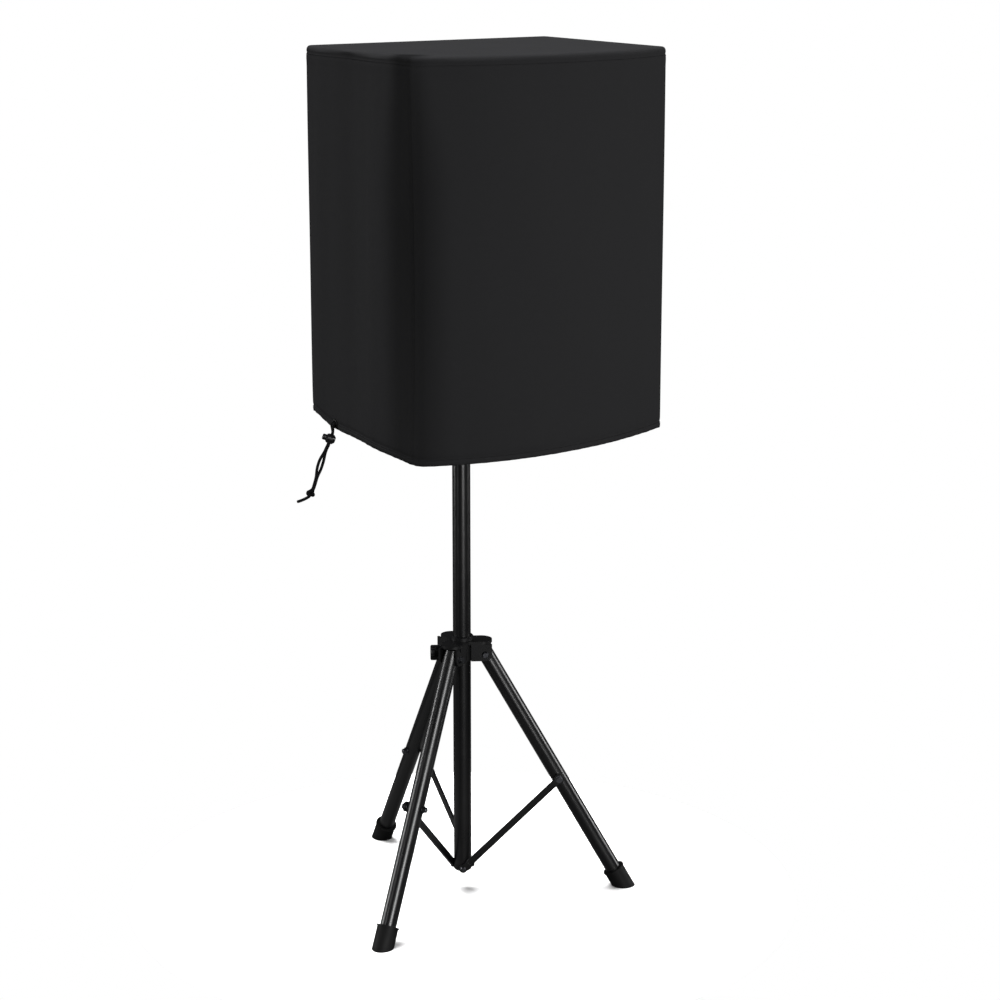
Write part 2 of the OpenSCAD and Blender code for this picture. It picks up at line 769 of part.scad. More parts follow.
module yoke_inserts() {
    color("#b8babd") for (s = [-1, 1]) translate([s > 0 ? in_hw : -cab_hw, insert_y, insert_z]) difference() {
        xcyl(insert_l, insert_or);
        translate([-1, 0, 0]) xcyl(insert_l + 2, insert_r);
    }
}

module amp_plate() {
    color("#303236") difference() {
        box(-amp_hw - amp_lap, amp_hw + amp_lap, amp_y - amp_t, amp_y, amp_z0 - amp_lap, amp_z1 + amp_lap);
        for (i = [0, 1]) translate([xlr_x, amp_y - 10, ctl_z - xlr_gap*i]) ycyl(20, xlr_r + 2);
        for (x = [knob1_x, knob2_x]) translate([x, amp_y - 10, ctl_z]) ycyl(20, 3 + run);
        box(inlet_x - 14, inlet_x + 14, amp_y - 10, amp_y + 10, inlet_z - 11, inlet_z + 11);
        box(switch_x - rocker_hw - 0.6, switch_x + rocker_hw + 0.6, amp_y - 10, amp_y + 10,
            inlet_z - rocker_r - 0.6, inlet_z + rocker_r + 0.6);
    }
    // cooling ribs on the plate's outer face
    color("#303236") for (i = [0:10]) box(-60 + 12*i, -57 + 12*i, amp_y, amp_y + 9, amp_z0 + 90, amp_z0 + 150);
    // sealed module with the transformer and electronics, inside the cabinet
    color("#303236") box(-module_hw, module_hw, amp_y - amp_t - module_d, amp_y - amp_t, module_z0, module_z1);
}

module mains_inlet() {
    color("#141414") translate([inlet_x, amp_y, inlet_z]) {
        difference() {
            union() {
                box(-14, 14, -25, 0, -11, 11);
                box(-25, 25, 0, 2.5, -14, 14);
            }
            box(-11.5, 11.5, -18, 3, -8, 8);
            for (s = [-1, 1]) translate([s*20, -1, 0]) ycyl(5, 1.8);
        }
        for (x = [-6, 0, 6]) box(x - 1.2, x + 1.2, -18.5, -4, x == 0 ? 1 : -4, x == 0 ? 4 : -1);
    }
}

module power_switch() {
    color("#101010") translate([switch_x, amp_y - 5, inlet_z]) intersection() {
        translate([-rocker_hw, 0, 0]) xcyl(2*rocker_hw, rocker_r);
        union() {
            box(-20, 20, -20, 7, -3, 20);
            box(-20, 20, -20, 6.2, -20, 20);
        }
    }
}

module level_knob(x) {
    color("#151515") translate([x, amp_y, ctl_z]) {
        translate([0, -8, 0]) ycyl(9, 3);
        difference() {
            union() {
                translate([0, 0.5, 0]) ycyl(10, 8);
                translate([0, 0.5, 0]) ycyl(2, 9.5);
                translate([0, 10.5, 0]) ycyl(1, 8, 7);
            }
            for (a = [0:45:315]) rotate([0, a, 0]) translate([0, 3.2, 9]) ycyl(12, 1.6);
            translate([-0.8, 10.9, 1]) cube([1.6, 2, 4]);
        }
    }
}

module level_knob_1() {
    level_knob(knob1_x);
}

module level_knob_2() {
    level_knob(knob2_x);
}

module xlr_jacks() {
    color("#191919") for (i = [0, 1]) translate([xlr_x, amp_y, ctl_z - xlr_gap*i]) difference() {
        union() {
            box(-13, 13, 0, 2.5, -15.5, 15.5);
            translate([0, -20, 0]) ycyl(20, xlr_r + 2);
        }
        translate([0, -15, 0]) ycyl(20, xlr_r);
        for (s = [-1, 1]) translate([s*9.8, -1, s*12]) ycyl(5, 1.6);
    }
}

// ---- cover ----
module cover_top() {
    color("#2a2a2b") bowed_block(cover_hw, cover_back_y, bow_r, cover_top_z - cover_t, cover_top_z);
}

module cover_front() {
    color("#2a2a2b") for (h = [[cover_t, hem_z, cover_top_z - cover_t], [cover_t + hem_fold, hem_z, hem_z + hem_h]])
        difference() {
            bowed_block(cover_hw - cover_t, cover_side_y + cover_t, bow_r, h[1], h[2]);
            translate([0, bow_y, 0]) cylinder(h = 3000, r = bow_r - h[0], $fn = 128);
        }
}

module cover_back() {
    color("#2a2a2b") {
        box(-cover_hw + cover_t, cover_hw - cover_t, cover_back_y - cover_t, cover_back_y,
            hem_z, cover_top_z - cover_t);
        box(-cover_hw + cover_t + hem_fold, cover_hw - cover_t - hem_fold, cover_back_y - cover_t - hem_fold,
            cover_back_y, hem_z, hem_z + hem_h);
    }
}

module cover_side(s) {
    color("#2a2a2b") {
        box(s > 0 ? cover_hw - cover_t : -cover_hw, s > 0 ? cover_hw : -cover_hw + cover_t,
            cover_side_y, cover_back_y, hem_z, cover_top_z - cover_t);
        box(s > 0 ? cover_hw - cover_t - hem_fold : -cover_hw, s > 0 ? cover_hw : -cover_hw + cover_t + hem_fold,
            cover_side_y + 8, cover_back_y - cover_t, hem_z, hem_z + hem_h);
    }
}

module cover_left() {
    difference() {
        cover_side(-1);
        translate([-cover_hw - 1, eye_y, eye_z]) xcyl(cover_t + hem_fold + 2, eye_hole);
    }
}

module cover_right() {
    cover_side(1);
}

// ---- drawstring ----
module drawstring_eyelet() {
    color("#8d8f92") translate([-cover_hw - 1.2, eye_y, eye_z]) difference() {
        xcyl(1.2, eye_ring - 0.8, eye_ring);
        translate([-1, 0, 0]) xcyl(4, eye_hole);
    }
}

function strand(s) = [
    [-cover_hw + 5, eye_y + s*(string_r + 0.2), eye_z],
    [-cover_hw - 2, eye_y + s*(string_r + 0.2), eye_z],
    [-cover_hw - 5.5, eye_y + 0.5 + s*strand_gap, eye_z - 3],
    lock_c - string_dir*13 + side_dir*(-s)*strand_gap,
    lock_c - string_dir*8 + side_dir*(-s)*strand_gap,
    lock_c + string_dir*12 + side_dir*(-s)*strand_gap,
    lock_c + string_dir*55 + side_dir*(-s)*(strand_gap + 2.2),
    knot_c - string_dir*(knot_l/2 + 9) + side_dir*(-s)*strand_gap,
    knot_c - string_dir*(knot_l/2 + 2) + side_dir*(-s)*strand_gap];

module drawstring() {
    color("#1e1e1f") {
        for (s = [-1, 1]) tube_through(smooth(strand(s), 3), string_r);
        tube_through(smooth([knot_c + string_dir*(knot_l/2 + 2.4), knot_c + string_dir*(knot_l/2 + 4.5),
            tail_end - left_dir*8 + [0, 0, 4], tail_end], 3), string_r);
    }
}

module drawstring_knot() {
    color("#1e1e1f") translate(knot_c) rotate([0, 0, knob_az]) rotate([0, -string_lean, 0]) {
        translate([0, 0, -knot_l/2]) cylinder(h = 2.5, r1 = knot_r - 2.5, r2 = knot_r);
        translate([0, 0, 2.5 - knot_l/2]) cylinder(h = knot_l - 5, r = knot_r);
        translate([0, 0, knot_l/2 - 2.5]) cylinder(h = 2.5, r1 = knot_r, r2 = knot_r - 1.5);
    }
}

module on_lock() {
    translate(lock_c) rotate([0, 0, knob_az]) rotate([0, -string_lean, 0]) children();
}

module cord_lock_body() {
    color("#161617") on_lock() difference() {
        union() {
            translate([-lock_r, 0, 0]) xcyl(4, lock_r - 4, lock_r);
            translate([4 - lock_r, 0, 0]) xcyl(10, lock_r);
            translate([14 - lock_r, 0, 0]) xcyl(3, lock_r, button_r + 1.6);
        }
        translate([string_r + 0.25, 0, 0]) xcyl(20, button_r + 0.2);
        translate([-string_r - 0.4, -strand_gap - string_r - 0.4, -20])
            cube([2*string_r + 0.8, 2*(strand_gap + string_r + 0.4), 40]);
    }
}

module cord_lock_button() {
    color("#1b1b1c") on_lock() {
        translate([button_x, 0, 0]) xcyl(button_l - 1.5, button_r);
        translate([button_x + button_l - 1.5, 0, 0]) xcyl(1.5, button_r, button_r - 1.5);
    }
}

outer_tube();
shaft_bottom_cap();
brace_rivets();
height_collar();
height_knob();
height_pin();
leg_hub();
hub_flange();
leg_pivot_bolts();
hub_knob();
leg(0);  // leg_1
leg(1);  // leg_2
leg(2);  // leg_3
foot(0);  // foot_1
foot(1);  // foot_2
foot(2);  // foot_3
brace_bolt(0);  // brace_bolt_1
brace_bolt(1);  // brace_bolt_2
brace_bolt(2);  // brace_bolt_3
brace(0);  // brace_1
brace(1);  // brace_2
brace(2);  // brace_3
brace_head(0);  // brace_head_1
brace_head(1);  // brace_head_2
brace_head(2);  // brace_head_3
inner_tube();
pole_adapter();
cab_left();
cab_right();
cab_top();
cab_bottom();
cab_back();
cab_baffle();
cab_feet();
pole_socket();
grille();
woofer_frame();
woofer_magnet();
woofer_cone();
horn();
compression_driver();
ports();
handles();
yoke_inserts();
amp_plate();
mains_inlet();
power_switch();
level_knob_1();
level_knob_2();
xlr_jacks();
cover_top();
cover_front();
cover_back();
cover_left();
cover_right();
drawstring_eyelet();
drawstring();
drawstring_knot();
cord_lock_body();
cord_lock_button();
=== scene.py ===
"""Looks for a loudspeaker under a fitted dust cover, on a folding tripod stand."""

import json
import logging
import math
import random
from dataclasses import dataclass, field, replace
from enum import Enum
from typing import Any, Callable, Iterable, Sequence

import bpy
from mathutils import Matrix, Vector

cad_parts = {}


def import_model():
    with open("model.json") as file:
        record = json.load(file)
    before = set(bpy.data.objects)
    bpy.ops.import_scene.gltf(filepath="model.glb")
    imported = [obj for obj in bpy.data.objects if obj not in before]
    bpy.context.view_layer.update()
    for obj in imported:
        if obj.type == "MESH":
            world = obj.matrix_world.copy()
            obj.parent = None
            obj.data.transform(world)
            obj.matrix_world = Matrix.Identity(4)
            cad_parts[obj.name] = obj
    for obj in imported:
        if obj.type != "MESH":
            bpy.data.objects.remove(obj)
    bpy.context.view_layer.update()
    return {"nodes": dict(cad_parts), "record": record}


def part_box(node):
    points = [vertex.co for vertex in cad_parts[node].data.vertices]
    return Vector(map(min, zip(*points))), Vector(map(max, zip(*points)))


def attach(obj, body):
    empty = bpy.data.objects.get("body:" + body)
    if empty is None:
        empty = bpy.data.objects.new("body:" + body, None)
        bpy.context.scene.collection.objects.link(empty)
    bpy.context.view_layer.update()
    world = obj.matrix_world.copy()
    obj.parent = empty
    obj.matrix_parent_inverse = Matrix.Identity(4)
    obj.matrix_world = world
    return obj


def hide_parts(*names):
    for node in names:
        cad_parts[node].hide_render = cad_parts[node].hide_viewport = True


LOG = logging.getLogger("speaker")
MM = 0.001


def linear(hex_colour: str) -> tuple[float, float, float, float]:
    """Turns an sRGB hex colour into linear RGBA.

    Args:
        hex_colour: Colour such as "#2a2a2b".

    Returns:
        Linear red, green, blue and an alpha of 1.
    """
    parts = [int(hex_colour[i:i + 2], 16) / 255 for i in (1, 3, 5)]
    out = [c / 12.92 if c <= 0.04045 else ((c + 0.055) / 1.055) ** 2.4 for c in parts]
    return out[0], out[1], out[2], 1.0


def add_node(tree: Any, kind: str, settings: dict[str, Any] | None = None,
             inputs: dict[Any, Any] | None = None) -> Any:
    """Adds one node with its settings and links.

    Args:
        tree: Node tree that takes the node.
        kind: Node type's identifier.
        settings: Attributes to set on the node.
        inputs: Input name or index to a value, or to the output socket to link.

    Returns:
        The new node.
    """
    made = tree.nodes.new(kind)
    for name, value in (settings or {}).items():
        setattr(made, name, value)
    for name, value in (inputs or {}).items():
        if isinstance(value, bpy.types.NodeSocket):
            tree.links.new(value, made.inputs[name])
        else:
            made.inputs[name].default_value = value
    return made


class Space(Enum):
    """Where a pattern takes its coordinates from."""

    OBJECT = "Object"
    UV = "UV"


@dataclass(frozen=True)
class Finish:
    """A finish: its maker's name, colour and the numbers that its shader starts from."""

    name: str
    colour: str
    second: str
    roughness: float
    rough_spread: float = 0.06
    metallic: float = 0.0
    ior: float = 1.5
    coat: float = 0.0
    coat_roughness: float = 0.1
    sheen: float = 0.0
    sheen_roughness: float = 0.4
    specular: float = 0.5
    grain: float = 400.0
    blotch: float = 12.0
    bump: float = 0.00005
    space: Space = Space.OBJECT

    def toned(self, tree: Any, place: Any, colour: Any) -> Any:
        """Returns the colour socket, for finishes that need no further shading."""
        return colour

    def relief(self, tree: Any, where: Any) -> Any:
        """Builds the height pattern that the bump reads.

        Args:
            tree: The material's node tree.
            where: Coordinate socket.

        Returns:
            The height's output socket.
        """
        fine = add_node(tree, "ShaderNodeTexNoise", {"noise_dimensions": "3D"},
                        {"Vector": where, "Scale": self.grain, "Detail": 4.0, "Roughness": 0.55})
        return fine.outputs["Fac"]

    def build(self) -> bpy.types.Material:
        """Makes the material.

        Returns:
            The finished material.
        """
        made = bpy.data.materials.new(self.name)
        made.use_nodes = True
        tree = made.node_tree
        tree.nodes.clear()
        coords = add_node(tree, "ShaderNodeTexCoord")
        where = coords.outputs[self.space.value]
        place = coords.outputs["Object"]
        blotch = add_node(tree, "ShaderNodeTexNoise", {},
                          {"Vector": place, "Scale": self.blotch, "Detail": 3.0, "Roughness": 0.6})
        tint = add_node(tree, "ShaderNodeMix", {"data_type": "RGBA"},
                        {0: blotch.outputs["Fac"], 6: linear(self.colour), 7: linear(self.second)})
        tone = self.toned(tree, place, tint.outputs[2])
        rough = add_node(tree, "ShaderNodeMapRange", {},
                         {"Value": blotch.outputs["Fac"], "From Min": 0.3, "From Max": 0.7,
                          "To Min": self.roughness - self.rough_spread,
                          "To Max": self.roughness + self.rough_spread})
        height = self.relief(tree, where)
        bump = add_node(tree, "ShaderNodeBump", {},
                        {"Height": height, "Distance": self.bump, "Strength": 1.0})
        shader = add_node(tree, "ShaderNodeBsdfPrincipled", {},
                          {"Base Color": tone, "Roughness": rough.outputs["Result"],
                           "Metallic": self.metallic, "IOR": self.ior, "Coat Weight": self.coat,
                           "Coat Roughness": self.coat_roughness, "Sheen Weight": self.sheen,
                           "Sheen Roughness": self.sheen_roughness,
                           "Specular IOR Level": self.specular, "Normal": bump.outputs["Normal"]})
        add_node(tree, "ShaderNodeOutputMaterial", {}, {"Surface": shader.outputs["BSDF"]})
        return made


@dataclass(frozen=True)
class WovenFinish(Finish):
    """Plain-woven cloth: two crossing sets of threads, in metres on the piece's own UV map, with a band
    of painted shade beside the front seam.
    """

    thread: float = 0.0016
    space: Space = Space.UV
    # centre, height range, width and darkness of the painted shade beside the front seam
    seam_at: tuple[float, float] = (0.0, 0.0)
    seam_low: float = 0.0
    seam_high: float = 1.0
    seam_reach: tuple[float, float] = (0.092, 0.056)
    seam_depth: tuple[float, float] = (0.42, 0.6)

    def toned(self, tree: Any, place: Any, colour: Any) -> Any:
        """Paints shade onto the cloth in a vertical band at the front seam, darkest from mid height up
        and narrowing towards the top.

        Args:
            tree: The material's node tree.
            place: Object coordinate socket in metres.
            colour: Colour socket of the plain cloth.

        Returns:
            The colour's output socket.
        """
        rise = self.seam_high - self.seam_low
        height = add_node(tree, "ShaderNodeSeparateXYZ", {}, {0: place}).outputs["Z"]
        level = add_node(tree, "ShaderNodeVectorMath", {"operation": "MULTIPLY"},
                         {0: place, 1: (1.0, 1.0, 0.0)})
        away = add_node(tree, "ShaderNodeVectorMath", {"operation": "DISTANCE"},
                        {0: level.outputs[0], 1: (self.seam_at[0], self.seam_at[1], 0.0)})
        reach = add_node(tree, "ShaderNodeMapRange", {},
                         {"Value": height, "From Min": self.seam_low + 0.7 * rise,
                          "From Max": self.seam_high - 0.02, "To Min": self.seam_reach[0],
                          "To Max": self.seam_reach[1]})
        share = add_node(tree, "ShaderNodeMath", {"operation": "DIVIDE"},
                         {0: away.outputs["Value"], 1: reach.outputs["Result"]})
        depth = add_node(tree, "ShaderNodeMapRange", {},
                         {"Value": height, "From Min": self.seam_low,
                          "From Max": self.seam_low + 0.4 * rise, "To Min": 1 - self.seam_depth[0],
                          "To Max": 1 - self.seam_depth[1]})
        # painted shade: full darkening close to the seam, easing out to the plain cloth at the band's
        # edge
        fade = add_node(tree, "ShaderNodeMapRange", {"interpolation_type": "SMOOTHSTEP"},
                        {"Value": share.outputs[0], "From Min": 0.2, "From Max": 1.0,
                         "To Min": depth.outputs["Result"], "To Max": 1.0})
        return add_node(tree, "ShaderNodeHueSaturation", {},
                        {"Value": fade.outputs["Result"], "Color": colour}).outputs[0]

    def relief(self, tree: Any, where: Any) -> Any:
        """Builds crossing threads with a slow unevenness between them.

        Args:
            tree: The material's node tree.
            where: Coordinate socket in metres.

        Returns:
            The height's output socket.
        """
        # a wave's period is 2 pi / (20 x scale)
        scale = 2 * math.pi / (20 * self.thread)
        sets = [add_node(tree, "ShaderNodeTexWave", {"bands_direction": way, "wave_profile": "SIN"},
                         {"Vector": where, "Scale": scale, "Distortion": 0.6, "Detail": 1.0,
                          "Detail Scale": 0.4}).outputs["Fac"] for way in ("X", "Y")]
        weave = add_node(tree, "ShaderNodeMath", {"operation": "MAXIMUM"}, {0: sets[0], 1: sets[1]})
        slub = add_node(tree, "ShaderNodeTexNoise", {},
                        {"Vector": where, "Scale": self.grain, "Detail": 5.0, "Roughness": 0.6})
        return add_node(tree, "ShaderNodeMath", {"operation": "ADD"},
                        {0: weave.outputs[0], 1: slub.outputs["Fac"]}).outputs[0]


@dataclass(frozen=True)
class SweepFinish(Finish):
    """Studio paper that is white in view and throws little light back onto the object."""

    bounce: float = 0.06

    def toned(self, tree: Any, place: Any, colour: Any) -> Any:
        """Returns the paper's colour, dimmed for light that bounces off it."""
        seen = add_node(tree, "ShaderNodeLightPath")
        share = add_node(tree, "ShaderNodeMapRange", {},
                         {"Value": seen.outputs["Is Camera Ray"], "To Min": self.bounce, "To Max": 1.0})
        return add_node(tree, "ShaderNodeHueSaturation", {},
                        {"Value": share.outputs["Result"], "Color": colour}).outputs[0]


@dataclass(frozen=True)
class BraidFinish(Finish):
    """Braided cord: two spirals of strands crossing round it, on its own UV map in metres."""

    pitch: float = 0.0035
    girth: float = 0.0126
    space: Space = Space.UV

    def relief(self, tree: Any, where: Any) -> Any:
        """Builds the two opposite spirals.

        Args:
            tree: The material's node tree.
            where: Coordinate socket in metres, along and round the cord.

        Returns:
            The height's output socket.
        """
        split = add_node(tree, "ShaderNodeSeparateXYZ", {}, {0: where})
        spirals = []
        for hand in (1.0, -1.0):
            turn = add_node(tree, "ShaderNodeMath", {"operation": "MULTIPLY"},
                            {0: split.outputs["Y"], 1: hand * 4 * 2 * math.pi / self.girth})
            run = add_node(tree, "ShaderNodeMath", {"operation": "MULTIPLY_ADD"},
                           {0: split.outputs["X"], 1: 2 * math.pi / self.pitch,
                            2: turn.outputs[0]})
            spirals.append(add_node(tree, "ShaderNodeMath", {"operation": "SINE"},
                                    {0: run.outputs[0]}).outputs[0])
        return add_node(tree, "ShaderNodeMath", {"operation": "MAXIMUM"},
                        {0: spirals[0], 1: spirals[1]}).outputs[0]


@dataclass(frozen=True)
class Finishes:
    """Every finish on the object, by the record's material slot."""

    # powder-and-gloss enamel on drawn steel tube: deep black with clean long highlights
    black_enamel: Finish = Finish("gloss_enamel_on_steel", "#050506", "#080809", 0.3, 0.04,
                                  coat=0.3, coat_roughness=0.22, specular=0.5, grain=900, bump=0.00002)
    # glass-filled nylon, moulded with a light spark texture: soft broad highlights
    black_nylon: Finish = Finish("moulded_glass_filled_nylon", "#060607", "#0a0a0b", 0.45, 0.06,
                                 specular=0.3, grain=1400, bump=0.00006)
    # zinc-plated steel, tumbled: pale grey, slightly cloudy
    zinc_steel: Finish = Finish("zinc_plated_steel", "#6e6f73", "#55565a", 0.32, 0.08,
                                metallic=1.0, grain=700, bump=0.00003)
    # birch plywood under sprayed polyurea: coarse orange peel
    painted_ply: Finish = Finish("polyurea_coated_plywood", "#141414", "#1b1b1b", 0.62, 0.07,
                                 grain=260, bump=0.0004)
    # natural rubber with carbon black: dull, dusty at the high spots
    black_rubber: Finish = Finish("black_natural_rubber", "#040404", "#080808", 0.6, 0.08, specular=0.22,
                                  grain=600, blotch=30, bump=0.00008)
    # die-cast aluminium, black e-coat
    cast_socket: Finish = Finish("black_coated_die_casting", "#1a1a1b", "#242425", 0.45, 0.08,
                                 metallic=0.4, grain=320, bump=0.00012)
    # powder-coated sheet: an even, slightly pebbled satin
    grille_sheet: Finish = Finish("powder_coated_steel_sheet", "#121213", "#1a1a1b", 0.5, 0.05,
                                  grain=1200, bump=0.00004)
    # sintered ferrite and its plates: dull dark grey, chalky
    ferrite: Finish = Finish("sintered_ferrite", "#2b2b2e", "#363639", 0.6, 0.1,
                             metallic=0.3, grain=420, bump=0.0001)
    # pressed paper pulp: fibres show as a fine fuzz
    paper_cone: Finish = Finish("pressed_pulp_cone", "#1c1b1a", "#262523", 0.82, 0.06,
                                grain=520, bump=0.0003)
    # moulded ABS with a fine texture: satin black
    horn_plastic: Finish = Finish("textured_abs", "#131314", "#19191a", 0.5, 0.05,
                                  grain=1500, bump=0.00006)
    # anodised aluminium: dark metal with a soft sheen
    amp_aluminium: Finish = Finish("black_anodised_aluminium", "#25272a", "#2e3034", 0.38, 0.05,
                                   metallic=0.8, grain=1000, bump=0.00003)
    # 600-denier polyester oxford, coated inside: threads are 0.5 mm, drawn at 1.6 mm so they show
    # the cloth also carries a band of painted shade beside the front-left seam
    cover_nylon: WovenFinish = WovenFinish("coated_polyester_oxford", "#1f1f20", "#232324", 0.85, 0.05,
                                           sheen=0.0, sheen_roughness=0.4, specular=0.08,
                                           grain=60, blotch=9, bump=0.00012)
    # blackened brass: warm dark metal
    eyelet_brass: Finish = Finish("blackened_brass", "#3a3a3c", "#4c4b4a", 0.36, 0.08,
                                  metallic=1.0, grain=800, bump=0.00003)
    # braided polyester cord: eight carriers each way, matt black
    cord_nylon: BraidFinish = BraidFinish("braided_polyester_cord", "#060607", "#0c0c0d", 0.75, 0.05,
                                          specular=0.15, bump=0.0003)
    # moulded acetal: smooth and a little waxy
    lock_plastic: Finish = Finish("moulded_acetal", "#09090a", "#0e0e0f", 0.3, 0.05,
                                  grain=1100, bump=0.00003)
    # bonded polyester sewing thread, one shade darker than the cloth
    thread: Finish = Finish("bonded_polyester_thread", "#0a0a0b", "#0e0e0f", 0.8, 0.05,
                            specular=0.05, grain=3000, bump=0.00003)
    # pale seamless studio paper
    studio_floor: SweepFinish = SweepFinish("studio_paper", "#f4f4f4", "#f0f0f0", 0.9, 0.03,
                                            specular=0.2, grain=40, blotch=1.5, bump=0.00005)


@dataclass
class MaterialShelf:
    """Makes each material once and hands it out by its slot name."""

    finishes: Finishes = field(default_factory=Finishes)
    made: dict[str, bpy.types.Material] = field(default_factory=dict)

    def get(self, slot: str) -> bpy.types.Material:
        """Returns the material for a slot, making it on first use."""
        if slot not in self.made:
            self.made[slot] = getattr(self.finishes, slot).build()
        return self.made[slot]


def new_mesh(name: str, points: Sequence[Sequence[float]], faces: Sequence[Sequence[int]],
             uvs: Sequence[tuple[float, float]] | None = None, smooth: bool = True) -> Any:
    """Makes a mesh object at the origin.

    Args:
        name: The piece's name.
        points: Vertex positions in metres.
        faces: Vertex indices of each face.
        uvs: One UV pair for each vertex, or None.
        smooth: Whether faces are shaded smooth.

    Returns:
        The new object, linked to the scene.
    """
    mesh = bpy.data.meshes.new(name)
    mesh.from_pydata([tuple(p) for p in points], [], [tuple(f) for f in faces])
    if uvs is not None:
        layer = mesh.uv_layers.new(name="cloth")
        for loop in mesh.loops:
            layer.data[loop.index].uv = uvs[loop.vertex_index]
    mesh.polygons.foreach_set("use_smooth", [smooth] * len(mesh.polygons))
    mesh.update()
    made = bpy.data.objects.new(name, mesh)
    bpy.context.scene.collection.objects.link(made)
    return made


def dress(piece: Any, material: bpy.types.Material) -> None:
    """Gives a piece one material."""
    piece.data.materials.clear()
    piece.data.materials.append(material)


def baked(piece: Any, name: str) -> Any:
    """Turns a piece and its modifiers into a plain mesh object.

    Args:
        piece: Object with live modifiers. It is removed.
        name: Name of the plain copy.

    Returns:
        The plain mesh object.
    """
    bpy.context.view_layer.update()
    graph = bpy.context.evaluated_depsgraph_get()
    mesh = bpy.data.meshes.new_from_object(piece.evaluated_get(graph), depsgraph=graph)
    mesh.name = name
    made = bpy.data.objects.new(name, mesh)
    bpy.context.scene.collection.objects.link(made)
    bpy.data.objects.remove(piece, do_unlink=True)
    return made


def smooth_route(points: Sequence[Vector], steps: int) -> list[Vector]:
    """Runs a smooth curve through route points.

    Args:
        points: Points to pass through, in metres.
        steps: Pieces between neighbouring points.

    Returns:
        The curve's points, the ends included.
    """
    out: list[Vector] = []
    last = len(points) - 1
    for i in range(last):
        a, b, c, d = (points[max(i - 1, 0)], points[i], points[i + 1], points[min(i + 2, last)])
        for s in range(steps):
            t = s / steps
            out.append(0.5 * ((2 * b) + (c - a) * t + (2 * a - 5 * b + 4 * c - d) * t * t
                              + (3 * b - a - 3 * c + d) * t ** 3))
    out.append(points[-1].copy())
    return out


def route_length(points: Sequence[Vector]) -> float:
    """Returns the length of a polyline in metres."""
    return sum((b - a).length for a, b in zip(points, points[1:]))


def swept_tube(name: str, path: Sequence[Vector], radius: Callable[[float], float],
               sides: int = 16) -> Any:
    """Sweeps a round section along a path, closed at both ends, with a UV map in metres.

    Args:
        name: The piece's name.
        path: Points of the centre line.
        radius: Radius at a fraction of the length from 0 to 1.
        sides: Points round the section.

    Returns:
        The tube's object.
    """
    total = route_length(path)
    points: list[Vector] = []
    uvs: list[tuple[float, float]] = []
    run = 0.0
    side = None
    for i, p in enumerate(path):
        ahead = path[min(i + 1, len(path) - 1)] - path[max(i - 1, 0)]
        ahead.normalize()
        if side is None:
            side = ahead.orthogonal().normalized()
        side = (side - ahead * side.dot(ahead)).normalized()
        up = ahead.cross(side)
        run += (p - path[i - 1]).length if i else 0.0
        r = radius(run / total)
        for k in range(sides):
            a = 2 * math.pi * k / sides
            points.append(p + side * (r * math.cos(a)) + up * (r * math.sin(a)))
            uvs.append((run, a * r))
    faces = []
    for i in range(len(path) - 1):
        for k in range(sides):
            j = (k + 1) % sides
            faces.append((i * sides + k, i * sides + j, (i + 1) * sides + j, (i + 1) * sides + k))
    faces.append(tuple(reversed(range(sides))))
    faces.append(tuple(range((len(path) - 1) * sides, len(path) * sides)))
    return new_mesh(name, points, faces, uvs)


